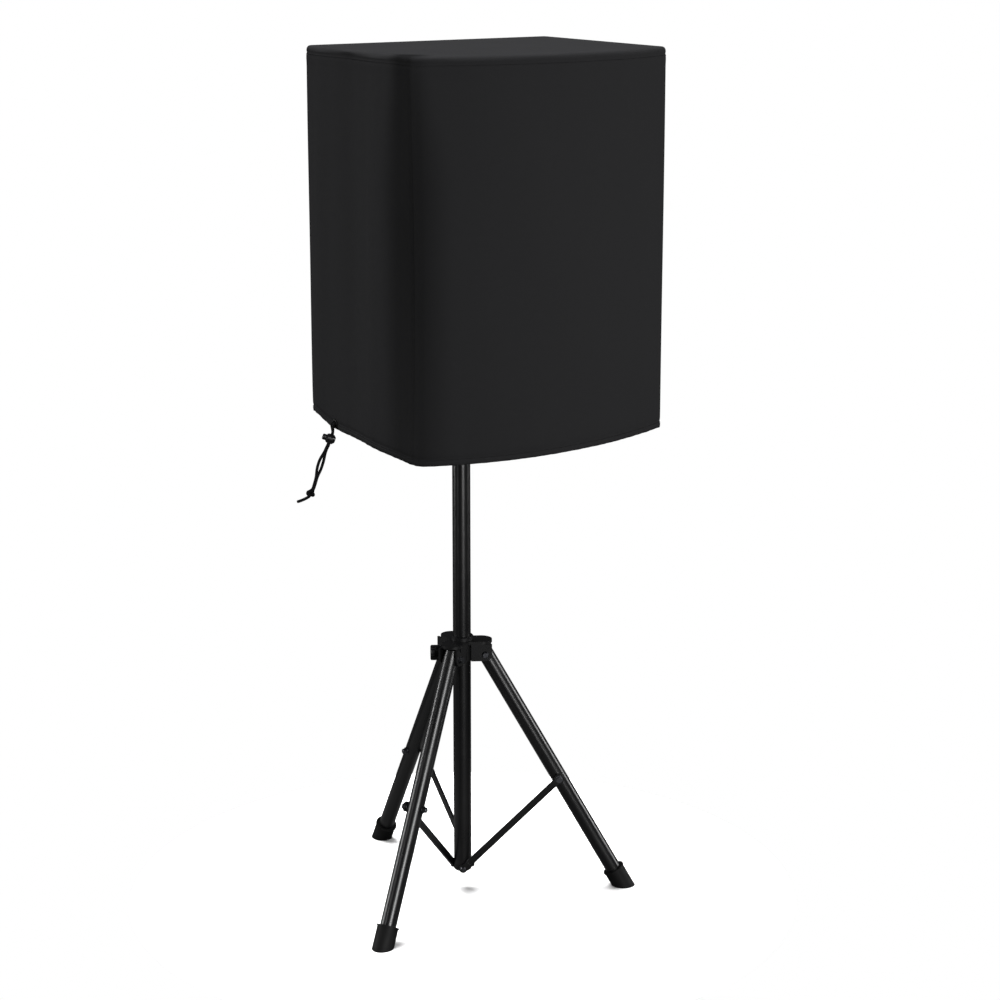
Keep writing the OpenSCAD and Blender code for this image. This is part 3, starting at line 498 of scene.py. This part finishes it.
class RunOnCurve:
    """Geometry Nodes that set a small part along each of a mesh's edges at an even spacing."""

    def __init__(self, name: str, part: Any) -> None:
        """Builds the tree.

        Args:
            name: The tree's name.
            part: Object that is repeated, lying along +X.
        """
        tree = bpy.data.node_groups.new(name, "GeometryNodeTree")
        face = tree.interface
        face.new_socket("Geometry", in_out="OUTPUT", socket_type="NodeSocketGeometry")
        face.new_socket("Geometry", in_out="INPUT", socket_type="NodeSocketGeometry")
        self.spacing = face.new_socket("Spacing", in_out="INPUT",
                                       socket_type="NodeSocketFloat").identifier
        self.material = face.new_socket("Material", in_out="INPUT",
                                        socket_type="NodeSocketMaterial").identifier
        given = add_node(tree, "NodeGroupInput")
        curve = add_node(tree, "GeometryNodeMeshToCurve", {}, {"Mesh": given.outputs["Geometry"]})
        even = add_node(tree, "GeometryNodeResampleCurve", {"mode": "LENGTH"},
                        {"Curve": curve.outputs[0], "Length": given.outputs["Spacing"]})
        tangent = add_node(tree, "GeometryNodeInputTangent")
        normal = add_node(tree, "GeometryNodeInputNormal")
        turn = add_node(tree, "FunctionNodeAxesToRotation",
                        {"primary_axis": "X", "secondary_axis": "Z"},
                        {0: tangent.outputs[0], 1: normal.outputs[0]})
        source = add_node(tree, "GeometryNodeObjectInfo", {}, {"Object": part})
        placed = add_node(tree, "GeometryNodeInstanceOnPoints", {},
                          {"Points": even.outputs[0], "Instance": source.outputs["Geometry"],
                           "Rotation": turn.outputs[0]})
        real = add_node(tree, "GeometryNodeRealizeInstances", {},
                        {"Geometry": placed.outputs[0]})
        smooth = add_node(tree, "GeometryNodeSetShadeSmooth", {}, {"Geometry": real.outputs[0]})
        coated = add_node(tree, "GeometryNodeSetMaterial", {},
                          {"Geometry": smooth.outputs[0], "Material": given.outputs["Material"]})
        add_node(tree, "NodeGroupOutput", {}, {"Geometry": coated.outputs[0]})
        self.tree = tree

    def make(self, name: str, paths: Sequence[Sequence[Vector]], spacing: float,
             material: bpy.types.Material) -> Any:
        """Runs the parts along the given paths.

        Args:
            name: Name of the finished piece.
            paths: Polylines in metres.
            spacing: Distance between parts in metres.
            material: The parts' material.

        Returns:
            One plain mesh of every part.
        """
        points: list[Vector] = []
        edges: list[tuple[int, int]] = []
        for path in paths:
            start = len(points)
            points.extend(path)
            edges.extend((start + i, start + i + 1) for i in range(len(path) - 1))
        mesh = bpy.data.meshes.new(name + "_line")
        mesh.from_pydata([tuple(p) for p in points], edges, [])
        holder = bpy.data.objects.new(name + "_line", mesh)
        bpy.context.scene.collection.objects.link(holder)
        mod = holder.modifiers.new("run", "NODES")
        mod.node_group = self.tree
        mod[self.spacing] = spacing
        mod[self.material] = material
        return baked(holder, name)


@dataclass
class Studio:
    """Camera, floor and lights."""

    eye: Vector = field(default_factory=lambda: Vector((-2.4093, -3.8565, 1.9366)))
    pitch: float = 14.034
    yaw: float = 32.932
    lens: float = 87.735
    fill: float = 0.05
    floor_radius: float = 0.66

    def camera(self) -> None:
        """Makes the scene's camera."""
        data = bpy.data.cameras.new("studio_camera")
        data.lens = self.lens
        data.sensor_width = 36.0
        data.clip_end = 60.0
        made = bpy.data.objects.new("studio_camera", data)
        made.location = self.eye
        made.rotation_euler = (math.radians(90 - self.pitch), 0.0, math.radians(-self.yaw))
        bpy.context.scene.collection.objects.link(made)
        bpy.context.scene.camera = made

    def softbox(self, name: str, place: Sequence[float], aim: Sequence[float], size: tuple[float, float],
                watts: float) -> None:
        """Hangs one rectangular softbox.

        Args:
            name: Light's name.
            place: Position in metres.
            aim: Point that it faces.
            size: Width and height in metres.
            watts: Power.
        """
        data = bpy.data.lights.new(name, "AREA")
        data.shape = "RECTANGLE"
        data.size, data.size_y = size
        data.energy = watts
        made = bpy.data.objects.new(name, data)
        made.location = Vector(place)
        facing = Vector(aim) - Vector(place)
        made.rotation_euler = facing.to_track_quat("-Z", "Y").to_euler()
        bpy.context.scene.collection.objects.link(made)

    def lights(self) -> None:
        """Sets the world and the softboxes."""
        world = bpy.data.worlds.new("studio_world")
        world.use_nodes = True
        tree = world.node_tree
        tree.nodes.clear()
        seen = add_node(tree, "ShaderNodeLightPath")
        strength = add_node(tree, "ShaderNodeMapRange", {},
                            {"Value": seen.outputs["Is Camera Ray"], "To Min": self.fill,
                             "To Max": 1.0})
        back = add_node(tree, "ShaderNodeBackground", {},
                        {"Color": (1, 1, 1, 1), "Strength": strength.outputs["Result"]})
        add_node(tree, "ShaderNodeOutputWorld", {}, {"Surface": back.outputs[0]})
        bpy.context.scene.world = world
        bpy.context.scene.view_settings.view_transform = "Standard"
        self.softbox("back_softbox", (-2.7, 2.0, 1.4), (-0.2, 0, 1.2), (0.5, 2.4), 44)
        self.softbox("key_softbox", (-0.5, -3.7, 1.5), (0, -0.1, 1.1), (1.3, 2.8), 112)
        self.softbox("right_softbox", (3.3, -1.6, 1.5), (0, -0.1, 1.2), (0.8, 2.4), 56)
        self.softbox("left_softbox", (-3.4, -0.7, 1.3), (0, 0, 1.2), (0.35, 2.4), 10)
        data = bpy.data.lights.new("overhead_silk", "SUN")
        data.energy = 9.6
        data.angle = math.radians(45)
        made = bpy.data.objects.new("overhead_silk", data)
        made.rotation_euler = (math.radians(-12), math.radians(-6), 0)
        made.visible_glossy = False
        bpy.context.scene.collection.objects.link(made)

    def floor(self, material: bpy.types.Material) -> None:
        """Lays the pale floor.

        Args:
            material: The floor's material.
        """
        sides = 96
        ring = [(self.floor_radius * math.cos(2 * math.pi * i / sides),
                 self.floor_radius * math.sin(2 * math.pi * i / sides), 0.0) for i in range(sides)]
        made = new_mesh("studio_floor", ring, [tuple(range(sides))], smooth=False)
        dress(made, material)


@dataclass
class Drawstring:
    """The hem's free cord: two strands through a cord lock, an overhand knot and one tail."""

    diameter: float = 5.6 * MM
    lean: float = 20.3
    heading: float = 150.0
    knot_drop: float = 110.0 * MM
    joined: float = 2.9 * MM
    parted: float = 3.9 * MM

    def axes(self) -> tuple[Vector, Vector, Vector]:
        """Returns the directions along the hanging string, across it, and level outwards."""
        turn = math.radians(self.heading)
        out = Vector((math.cos(turn), math.sin(turn), 0))
        side = Vector((-math.sin(turn), math.cos(turn), 0))
        tilt = math.radians(self.lean)
        return out * math.sin(tilt) - Vector((0, 0, 1)) * math.cos(tilt), side, out

    def hanging(self, lock: Vector, down: Vector, side: Vector, sign: int) -> list[Vector]:
        """Runs one strand from the lock to the knot: side by side, then parted, then joined.

        Args:
            lock: The cord lock's middle.
            down: Direction of the string.
            side: Direction across the string.
            sign: Which of the two strands.

        Returns:
            Points of the centre line.
        """
        third = down.cross(side)
        steps = 14
        first, last = 0.012, self.knot_drop - 0.010
        points = []
        for i in range(steps + 1):
            t = i / steps
            bulge = math.sin(math.pi * min(max((t - 0.12) / 0.68, 0.0), 1.0)) ** 2
            turn = math.radians(20 + 70 * bulge)
            off = self.joined + (self.parted - self.joined) * bulge
            sway = 1.6 * MM * math.sin(math.pi * t * 1.4)
            points.append(lock + down * (first + (last - first) * t) + third * sway
                          + (side * math.cos(turn) + third * math.sin(turn)) * (-sign * off))
        return points

    def build(self, shelf: MaterialShelf) -> None:
        """Args:
            shelf: Source of materials.
        """
        eye_lo, eye_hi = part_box("drawstring_eyelet")
        knot_lo, knot_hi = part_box("drawstring_knot")
        eye = Vector((eye_hi[0], (eye_lo[1] + eye_hi[1]) / 2, (eye_lo[2] + eye_hi[2]) / 2))
        knot = Vector([(a + b) / 2 for a, b in zip(knot_lo, knot_hi)])
        down, side, out = self.axes()
        third = down.cross(side)
        lock = knot - down * self.knot_drop
        cord = shelf.get("cord_nylon")
        radius = self.diameter / 2
        knot_piece = self.overhand_knot(knot, down, side)
        dress(knot_piece, cord)
        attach(knot_piece, "cover")
        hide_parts("drawstring_knot")
        for sign, name in ((-1, "drawstring_strand_back"), (1, "drawstring_strand_front")):
            points = [eye + Vector((5.0, sign * 2.7, 0)) * MM,
                      eye + Vector((-2.0, sign * 2.7, 0)) * MM,
                      eye + Vector((-5.2, sign * 2.8 + 0.5, -2.8)) * MM,
                      lock - down * 0.013 + side * (-sign * self.joined),
                      lock - down * 0.004 + side * (-sign * self.joined)]
            points += self.hanging(lock, down, side, sign)
            points.append(knot - down * 0.003 + third * (-sign * 1.6 * MM))
            if sign > 0:
                points += [knot + down * 0.004 + side * 0.001, knot + down * 0.0085 + out * 0.002,
                           knot + out * 0.016 - Vector((0, 0, 0.0135)),
                           knot + out * 0.026 - Vector((0, 0, 0.017))]
            route = smooth_route(points, 3)
            made = swept_tube(name, route, lambda t: radius * (1.0 if t < 0.99 else 0.85))
            dress(made, cord)
            if sign < 0:
                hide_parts("drawstring")
            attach(made, "cover")
            LOG.info("%s: %.0f mm of cord", name, 1000 * route_length(route))

    def overhand_knot(self, centre: Vector, down: Vector, side: Vector) -> Any:
        """Ties the strands' overhand knot as one closed loop, a trefoil.

        Args:
            centre: Middle of the knot.
            down: Direction of the string.
            side: Direction across the string.

        Returns:
            The knot's object.
        """
        third = down.cross(side)
        path = []
        steps = 72
        for i in range(steps + 1):
            a = 2 * math.pi * i / steps
            wide = math.sin(a) + 2 * math.sin(2 * a)
            long = math.cos(a) - 2 * math.cos(2 * a)
            path.append(centre + third * (wide * 2.1 * MM) + down * (long * 2.0 * MM)
                        + side * (-math.sin(3 * a) * 2.8 * MM))
        return swept_tube("drawstring_overhand_knot", path, lambda t: self.diameter / 2, 12)


@dataclass
class CoverMesh:
    """The sewn cover as a grid of columns round it and rows up it, then rings across its top."""

    columns: int
    rows: list[float]
    seams: dict[str, int]
    panels: list[str]
    points: list[Vector]
    faces: list[tuple[int, ...]]
    uvs: list[tuple[float, float]]


@dataclass
class DustCover:
    """The fitted cloth cover, with its seams, hem and stitching."""

    front_corner: float = 0.026
    far_corner: float = 0.010
    slack: float = 6.0
    back_corner: float = 0.014
    edge: float = 0.007
    cloth: float = 0.0016
    hem: float = 0.0125
    hem_rise: dict[str, float] = field(default_factory=lambda: {
        "front_left": -0.006, "front_right": 0.004, "back_right": 0.006, "back_left": 0.010})
    corner_rise: dict[str, float] = field(default_factory=lambda: {
        "back_left": 0.018, "back_right": 0.010})
    rise_width: float = 0.045
    stitch_pitch: float = 0.0042
    step: float = 0.0065
    seed: int = 7

    def measure(self) -> None:
        """Reads the cover's outside sizes from the frame."""
        left_lo, left_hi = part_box("cover_left")
        front_lo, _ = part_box("cover_front")
        _, top_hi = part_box("cover_top")
        self.half = top_hi[0]
        self.side_y = left_lo[1]
        self.back_y = left_hi[1]
        self.apex_y = front_lo[1]
        self.low = left_lo[2]
        self.high = top_hi[2]
        bow = self.side_y - self.apex_y
        self.bow_r = self.half ** 2 / (2 * bow) + bow / 2
        self.bow_y = self.apex_y + self.bow_r

    def corner_centre(self, radius: float) -> tuple[float, float, float]:
        """Places the round between the right side and the bow.

        Args:
            radius: The corner's radius.

        Returns:
            Centre x and y, and the angle at which the bow takes over.
        """
        x = self.half - radius
        y = self.bow_y - math.sqrt((self.bow_r - radius) ** 2 - x ** 2)
        return x, y, math.atan2(y - self.bow_y, x)

    def outline(self) -> tuple[list[tuple[Vector, Vector, str]], dict[str, int]]:
        """Walks once round the cover, from the front-left seam along the front.

        Returns:
            (point, outward normal, panel) for each column, and the seams' columns by name.
        """
        stations: list[tuple[Vector, Vector, str]] = []
        seams: dict[str, int] = {}
        r = self.front_corner
        cx, cy, begin = self.corner_centre(r)
        begin = -math.pi - begin
        rf = self.far_corner
        fx, fy, end = self.corner_centre(rf)
        rb = self.back_corner
        by = self.back_y - rb

        def arc(centre: tuple[float, float], radius: float, a0: float, a1: float, step: float,
                panel: str) -> None:
            """Adds columns round an arc."""
            count = max(2, round(abs(a1 - a0) * radius / step))
            for i in range(count):
                a = a0 + (a1 - a0) * i / count
                n = Vector((math.cos(a), math.sin(a), 0))
                stations.append((Vector((centre[0], centre[1], 0)) + n * radius, n, panel))

        def line(p: tuple[float, float], q: tuple[float, float], n: tuple[float, float],
                 panel: str) -> None:
            """Adds columns along a straight side."""
            length = math.hypot(q[0] - p[0], q[1] - p[1])
            count = round(length / self.step)
            for i in range(count):
                t = i / count
                stations.append((Vector((p[0] + (q[0] - p[0]) * t, p[1] + (q[1] - p[1]) * t, 0)),
                                 Vector((n[0], n[1], 0)), panel))

        seams["front_left"] = 0
        arc((-cx, cy), r, -math.pi, begin, 0.004, "front")
        arc((0.0, self.bow_y), self.bow_r, begin, end, self.step, "front")
        arc((fx, fy), rf, end, 0.0, 0.003, "front")
        seams["front_right"] = len(stations)
        line((self.half, fy), (self.half, by), (1, 0), "right")
        seams["back_right"] = len(stations)
        arc((self.half - rb, by), rb, 0.0, math.pi / 2, 0.003, "back")
        line((self.half - rb, self.back_y), (-self.half + rb, self.back_y), (0, 1), "back")
        arc((-self.half + rb, by), rb, math.pi / 2, math.pi, 0.003, "back")
        seams["back_left"] = len(stations)
        line((-self.half, by), (-self.half, cy), (-1, 0), "left")
        return stations, seams

    def heights(self) -> list[float]:
        """Returns the rows' heights above the hem, close together at the hem and the top edge."""
        tall = self.high - self.low
        rows = [0.0, 0.002, 0.005, 0.008, 0.0105, 0.0125, 0.0145, 0.018, 0.023]
        z = 0.029
        while z < tall - 0.034:
            rows.append(z)
            z += 0.0072
        rows += [tall - 0.030, tall - 0.024, tall - 0.019, tall - 0.0155, tall - 0.0125, tall - 0.010,
                 tall - 0.0085]
        return rows

    def folds(self, panel: str, t: float, h: float) -> float:
        """Gives the cloth's slack along its panel.

        Args:
            panel: Panel's name.
            t: Fraction along the panel in walking order.
            h: Fraction of the height from hem to top.

        Returns:
            Distance outwards in metres.
        """
        ends = math.sin(math.pi * min(max(t, 0), 1)) ** 0.6
        tall = math.sin(math.pi * min(max(h * 0.92 + 0.03, 0), 1)) ** 0.5
        out = 0.0
        if panel == "left":
            for at, wide, deep, drift in ((0.10, 0.07, 4.6, 0.05), (0.42, 0.10, -6.4, -0.03),
                                          (0.66, 0.07, 5.0, 0.04), (0.86, 0.06, -3.2, 0.02)):
                c = at + drift * (h - 0.5)
                out += deep * math.exp(-((t - c) / wide) ** 2)
            out += 1.8 * ends
            out -= 4.5 * math.exp(-(1 - t) / 0.09) * math.sin(math.pi * min(h + 0.05, 1.0)) ** 0.7
        elif panel == "right":
            for at, wide, deep, drift in ((0.22, 0.07, 2.2, -0.04), (0.5, 0.09, -2.4, 0.05),
                                          (0.74, 0.06, 2.4, -0.02)):
                c = at + drift * (h - 0.5)
                out += deep * math.exp(-((t - c) / wide) ** 2)
            out += 1.8 * ends
        elif panel == "back":
            for at, wide, deep, drift in ((0.17, 0.05, 2.6, 0.05), (0.42, 0.08, -2.6, -0.06),
                                          (0.66, 0.06, 2.2, 0.04), (0.86, 0.04, -1.8, 0.0)):
                c = at + drift * (h - 0.5)
                out += deep * math.exp(-((t - c) / wide) ** 2)
            out += 2.0 * ends
        else:
            out += 1.6 * ends
            reach = 0.055 + 0.035 * math.sin(math.pi * min(h + 0.12, 1.0))
            out -= self.slack * math.exp(-t / reach) * math.sin(math.pi * min(h + 0.05, 1.0)) ** 0.7
            out += 0.9 * math.exp(-((t - 0.88 + 0.05 * h) / 0.05) ** 2)
        return out * tall * MM

    def build_mesh(self) -> CoverMesh:
        """Builds the cloth's outer surface.

        Returns:
            The grid, before it gets its thickness.
        """
        stations, seams = self.outline()
        rows = self.heights()
        n = len(stations)
        tall = self.high - self.low
        rng = random.Random(self.seed)
        waves = [(rng.uniform(4, 18), rng.uniform(2, 11), rng.uniform(0, 6.28), rng.uniform(0.10, 0.42))
                 for _ in range(16)]
        run = [0.0]
        for i in range(1, n):
            run.append(run[-1] + (stations[i][0] - stations[i - 1][0]).length)
        total = run[-1] + (stations[0][0] - stations[-1][0]).length
        marks = sorted(seams.values()) + [n]

        def hem_lift(i: int) -> float:
            """Eases the hem's height from one corner to the next."""
            names = ["front_left", "front_right", "back_right", "back_left", "front_left"]
            for k in range(4):
                if marks[k] <= i < marks[k + 1]:
                    t = (i - marks[k]) / (marks[k + 1] - marks[k])
                    a, b = self.hem_rise[names[k]], self.hem_rise[names[k + 1]]
                    t = t * t * (3 - 2 * t)
                    return a + (b - a) * t
            return 0.0

        def panel_t(i: int) -> float:
            """Returns a column's fraction along its panel."""
            for k in range(4):
                if marks[k] <= i < marks[k + 1]:
                    return (i - marks[k]) / (marks[k + 1] - marks[k])
            return 0.0

        def corner_lift(i: int) -> float:
            """Raises the hem close to the back corners."""
            out = 0.0
            for name, high in self.corner_rise.items():
                gap = abs(run[i] - run[seams[name]])
                out += high * math.exp(-(min(gap, total - gap) / self.rise_width) ** 2)
            return out

        points: list[Vector] = []
        uvs: list[tuple[float, float]] = []
        seam_runs = [run[c % n] for c in seams.values()]
        for z in rows:
            h = z / tall
            for i, (p, normal, panel) in enumerate(stations):
                s = run[i]
                out = self.folds(panel, panel_t(i), h)
                for ku, kz, phase, deep in waves:
                    out += deep * MM * math.sin(ku * round(total) * 2 * math.pi * s / total * 0.5 + kz * h
                                                + phase) * 0.35
                gap = min(min(abs(s - q), total - abs(s - q)) for q in seam_runs)
                # sewn corner: a groove at the seam with its allowance raised beside it
                out -= 1.1 * MM * math.exp(-(gap / 0.0032) ** 2)
                out += 0.5 * MM * math.exp(-((gap - 0.010) / 0.006) ** 2)
                # hem: doubled cloth, pulled in a little by its stitching and drawstring
                out += 0.8 * MM * math.exp(-((z - 0.005) / 0.006) ** 2)
                out -= 0.9 * MM * math.exp(-((z - 0.0125) / 0.0022) ** 2)
                pucker = math.sin(2 * math.pi * s / 0.021 + 1.7 * math.sin(s * 31)) \
                    + 0.6 * math.sin(2 * math.pi * s / 0.047 + 2.3)
                out += 0.55 * MM * pucker * math.exp(-z / 0.022)
                out -= 1.6 * MM * math.exp(-z / 0.012)
                # top edge: seam groove and allowance
                low = tall - z
                out -= 0.8 * MM * math.exp(-((low - 0.0125) / 0.0024) ** 2)
                out += 0.4 * MM * math.exp(-((low - 0.022) / 0.007) ** 2)
                lift = (hem_lift(i) + corner_lift(i)) * math.exp(-(z / 0.16) ** 1.5)
                points.append(Vector((p.x, p.y, self.low + z + lift)) + normal * out)
                uvs.append((s, z))
        # rounded top edge, then rings towards the middle
        middle = Vector((0, (self.apex_y + self.back_y) / 2, 0))
        ring_count = 0
        for a in (20, 45, 70, 90):
            rad = math.radians(a)
            for i, (p, normal, _) in enumerate(stations):
                q = p - normal * self.edge * (1 - math.cos(rad))
                points.append(Vector((q.x, q.y, self.high - self.edge + self.edge * math.sin(rad))))
                uvs.append((run[i], tall - self.edge + self.edge * rad))
            ring_count += 1
        shrink = [0.96, 0.93, 0.88, 0.82, 0.76, 0.69, 0.62, 0.55, 0.47, 0.39, 0.31, 0.23, 0.15, 0.08]
        for f in shrink:
            for i, (p, normal, _) in enumerate(stations):
                inner = p - normal * self.edge
                q = middle + (Vector((inner.x, inner.y, 0)) - middle) * f
                wave = 0.5 * math.sin(q.x * 19 + 1.3 * math.sin(q.y * 11)) \
                    + 0.5 * math.sin(q.y * 23 + q.x * 7)
                sag = -1.2 * MM * (1 - f ** 4) + 0.7 * MM * wave * (1 - f ** 6)
                points.append(Vector((q.x, q.y, self.high + sag)))
                uvs.append((q.x, q.y))
            ring_count += 1
        centre = len(points)
        points.append(Vector((middle.x, middle.y, self.high - 1.2 * MM)))
        uvs.append((middle.x, middle.y))
        faces: list[tuple[int, ...]] = []
        levels = len(rows) + ring_count
        for j in range(levels - 1):
            for i in range(n):
                k = (i + 1) % n
                faces.append((j * n + i, j * n + k, (j + 1) * n + k, (j + 1) * n + i))
        last = (levels - 1) * n
        for i in range(n):
            faces.append((last + i, last + (i + 1) % n, centre))
        return CoverMesh(n, rows, seams, [s[2] for s in stations], points, faces, uvs)

    def build(self, shelf: MaterialShelf) -> None:
        """Makes the cover, with its hem, and its stitching.

        Args:
            shelf: Source of materials.
        """
        self.measure()
        r = self.front_corner
        x, y, _ = self.corner_centre(r)
        # painted shade on the cloth, in a band centred just behind the front-left seam on the left panel
        shelf.made["cover_nylon"] = replace(
            shelf.finishes.cover_nylon, seam_at=(-x - 0.8 * r, y + 0.022), seam_low=self.low,
            seam_high=self.high).build()
        grid = self.build_mesh()
        made = new_mesh("sewn_cover", grid.points, grid.faces, grid.uvs)
        dress(made, shelf.get("cover_nylon"))
        thick = made.modifiers.new("cloth", "SOLIDIFY")
        thick.thickness = self.cloth
        thick.offset = -1.0
        cover = baked(made, "sewn_cover")
        cover.data.materials.clear()
        cover.data.materials.append(shelf.get("cover_nylon"))
        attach(cover, "cover")
        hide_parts("cover_top", "cover_front", "cover_back", "cover_left", "cover_right")
        stitches = self.stitching(grid, shelf)

    def stitching(self, grid: CoverMesh, shelf: MaterialShelf) -> list[Any]:
        """Sews the visible runs of thread.

        Args:
            grid: The cover's grid.
            shelf: Source of materials.

        Returns:
            The stitch pieces.
        """
        n = grid.columns
        bead = new_mesh("stitch_seed", *self.stitch_shape())
        runner = RunOnCurve("sewn_run", bead)
        hem_row = grid.rows.index(0.0105)
        paths = []
        around = [grid.points[hem_row * n + i] for i in range(n)]
        around.append(around[0])
        paths.append(self.pushed(around, 0.0003))
        top_row = len(grid.rows) - 4
        edge = [grid.points[top_row * n + i] for i in range(n)]
        edge.append(edge[0])
        paths.append(self.pushed(edge, 0.0003))
        made = runner.make("cover_stitches", paths, self.stitch_pitch, shelf.get("thread"))
        dress(made, shelf.get("thread"))
        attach(made, "cover")
        bpy.data.objects.remove(bead, do_unlink=True)
        return [made]

    def pushed(self, path: Sequence[Vector], by: float) -> list[Vector]:
        """Moves a run of points outwards from the cover's middle."""
        middle = Vector((0, (self.apex_y + self.back_y) / 2, 0))
        out = []
        for p in path:
            away = Vector((p.x, p.y, 0)) - middle
            away.normalize()
            out.append(p + away * by)
        return out

    def stitch_shape(self) -> tuple[list[tuple[float, float, float]], list[tuple[int, ...]]]:
        """Shapes one stitch, 3 mm long and 0.7 mm thick, lying along +X."""
        points: list[tuple[float, float, float]] = []
        sides = 6
        spans = ((-1.5, 0.12, -0.2), (-0.9, 0.34, 0.1), (0.0, 0.40, 0.2), (0.9, 0.34, 0.1),
                 (1.5, 0.12, -0.2))
        for x, r, lift in spans:
            for k in range(sides):
                a = 2 * math.pi * k / sides
                points.append((x * MM, r * math.cos(a) * MM, (r * math.sin(a) + lift) * MM))
        faces: list[tuple[int, ...]] = []
        for i in range(len(spans) - 1):
            for k in range(sides):
                j = (k + 1) % sides
                faces.append((i * sides + k, i * sides + j, (i + 1) * sides + j, (i + 1) * sides + k))
        faces.append(tuple(reversed(range(sides))))
        faces.append(tuple(range((len(spans) - 1) * sides, len(spans) * sides)))
        return points, faces


@dataclass
class CadDressing:
    """Gives every carried-over CAD node the finish of its record slot."""

    record: dict[str, Any]
    nodes: dict[str, Any]

    def build(self, shelf: MaterialShelf) -> None:
        """Assigns the materials.

        Args:
            shelf: Source of materials.
        """
        slots = {part["node"]: part["material_slot"] for part in self.record["subparts"]}
        for name, piece in self.nodes.items():
            material = shelf.get(slots[name])
            if piece.data.materials:
                for i in range(len(piece.data.materials)):
                    piece.data.materials[i] = material
            else:
                piece.data.materials.append(material)
        LOG.info("dressed %d CAD nodes", len(self.nodes))


def main() -> None:
    """Builds the scene."""
    logging.basicConfig(level=logging.INFO, format="%(name)s: %(message)s")
    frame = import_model()
    shelf = MaterialShelf()
    studio = Studio()
    studio.camera()
    Drawstring().build(shelf)
    DustCover().build(shelf)
    CadDressing(frame["record"], frame["nodes"]).build(shelf)
    studio.lights()
    studio.floor(shelf.get("studio_floor"))


if __name__ == "__main__":
    main()
